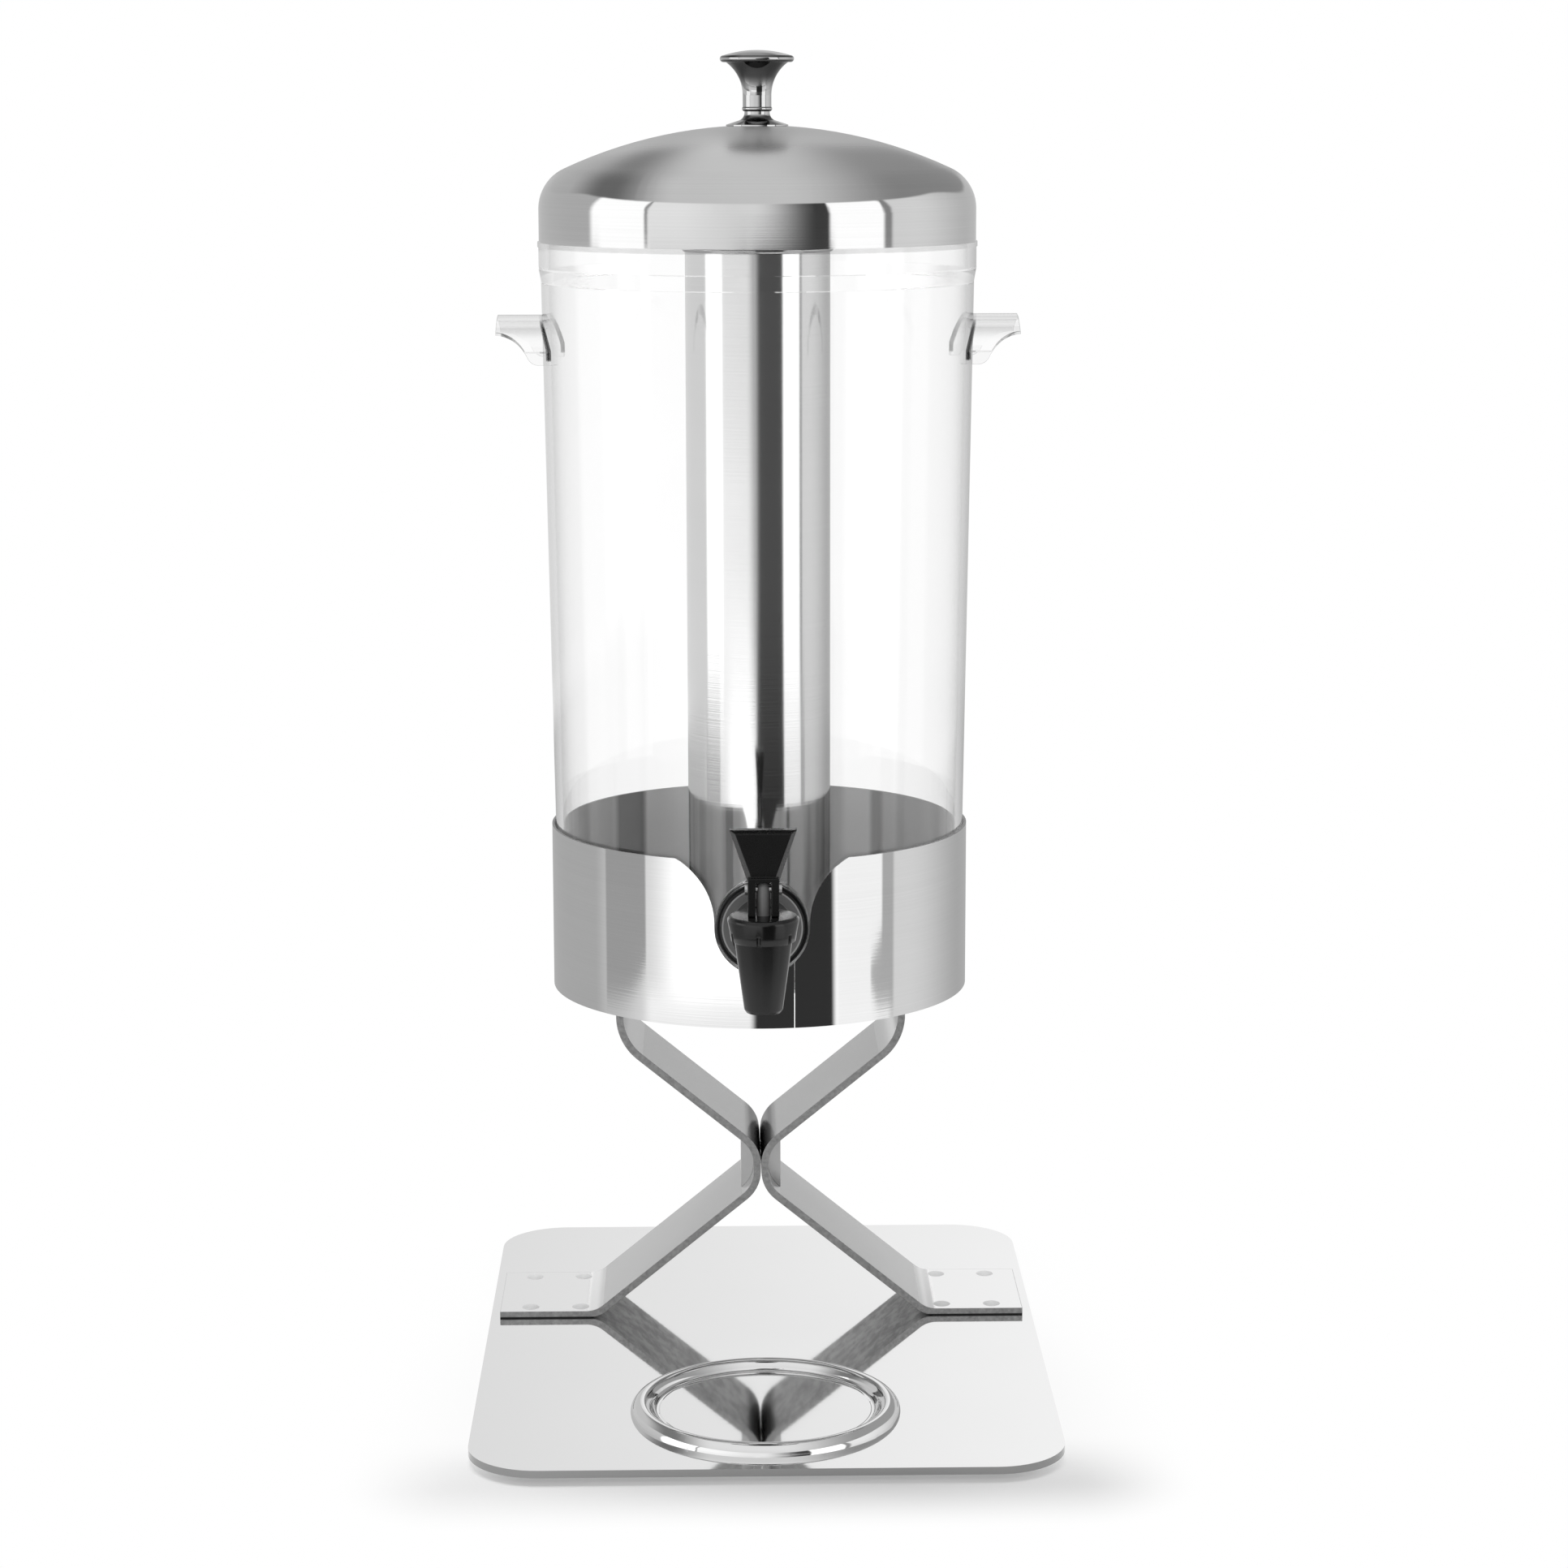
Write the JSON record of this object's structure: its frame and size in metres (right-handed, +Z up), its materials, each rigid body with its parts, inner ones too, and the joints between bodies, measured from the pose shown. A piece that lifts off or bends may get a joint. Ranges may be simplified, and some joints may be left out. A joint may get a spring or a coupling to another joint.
{
  "type": "juice dispenser",
  "caption": "Clear tapered juice container with an ice tube, domed steel lid and lever tap, in a steel collar on two bent legs over a base plate with a drip dish.",
  "frame": {"origin": "on the floor under the middle of the base plate", "axes": "+Z up, the tap and the drip dish at the front towards -Y, +X to the right as seen from the front"},
  "size_m": [0.231, 0.31, 0.5361],
  "materials": {
    "mirror_steel": "mirror polished",
    "bright_steel": "polished",
    "satin_steel": "satin",
    "clear_plastic": "clear gloss",
    "black_plastic": "gloss",
    "grey_plastic": "satin",
    "silicone": "matte",
    "black_rubber": "matte"
  },
  "bodies": {
    "stand": {"base_plate": "mirror_steel", "rubber_feet": "black_rubber", "left_leg": "satin_steel", "right_leg": "satin_steel", "foot_rivets": "bright_steel", "left_clamp_block": "satin_steel", "right_clamp_block": "satin_steel", "clamp_screws": "satin_steel", "collar_floor": "bright_steel", "collar": "bright_steel", "flange_rivets": "bright_steel"},
    "container": {"container": "clear_plastic", "tube_spigot": "clear_plastic", "left_handle": "clear_plastic", "right_handle": "clear_plastic", "tap_body": "black_plastic", "tap_bonnet": "black_plastic", "outer_gasket": "black_rubber", "inner_gasket": "silicone", "tap_nut": "black_plastic", "valve_diaphragm": "silicone"},
    "ice_tube": {"ice_tube": "bright_steel", "ice_tube_base": "bright_steel"},
    "lid": {"lid_shell": "bright_steel", "lid_knob": "mirror_steel", "knob_screw": "satin_steel", "knob_washer": "satin_steel"},
    "stem": {"valve_stem": "grey_plastic", "valve_plug": "silicone", "lever_pin": "satin_steel"},
    "lever": {"tap_lever": "black_plastic"},
    "drip_dish": {"drip_dish": "mirror_steel"}
  },
  "joints": [
    {"name": "container_lift", "type": "slide", "parent": "stand", "child": "container", "axis": [0, 0, 1], "range_m": [0, 0.08]},
    {"name": "lid_lift", "type": "slide", "parent": "container", "child": "lid", "axis": [0, 0, 1], "range_m": [0, 0.12]},
    {"name": "ice_tube_lift", "type": "slide", "parent": "container", "child": "ice_tube", "axis": [0, 0, 1], "range_m": [0, 0.038]},
    {"name": "valve_lift", "type": "slide", "parent": "container", "child": "stem", "axis": [0, 0, 1], "range_m": [0, 0.0021]},
    {"name": "lever_tip", "type": "hinge", "parent": "stem", "child": "lever", "pos_m": [0, -0.07, 0.21203], "axis": [1, 0, 0], "range_deg": [0, 35], "stiffness_Nm_per_rad": 0.12, "springref_deg": -17.19},
    {"name": "dish_lift", "type": "slide", "parent": "stand", "child": "drip_dish", "axis": [0, 0, 1], "range_m": [0, 0.06]}
  ],
  "couplings": [
    {"joint": "valve_lift", "follows": "lever_tip", "m_per_rad": 0.0032}
  ]
}
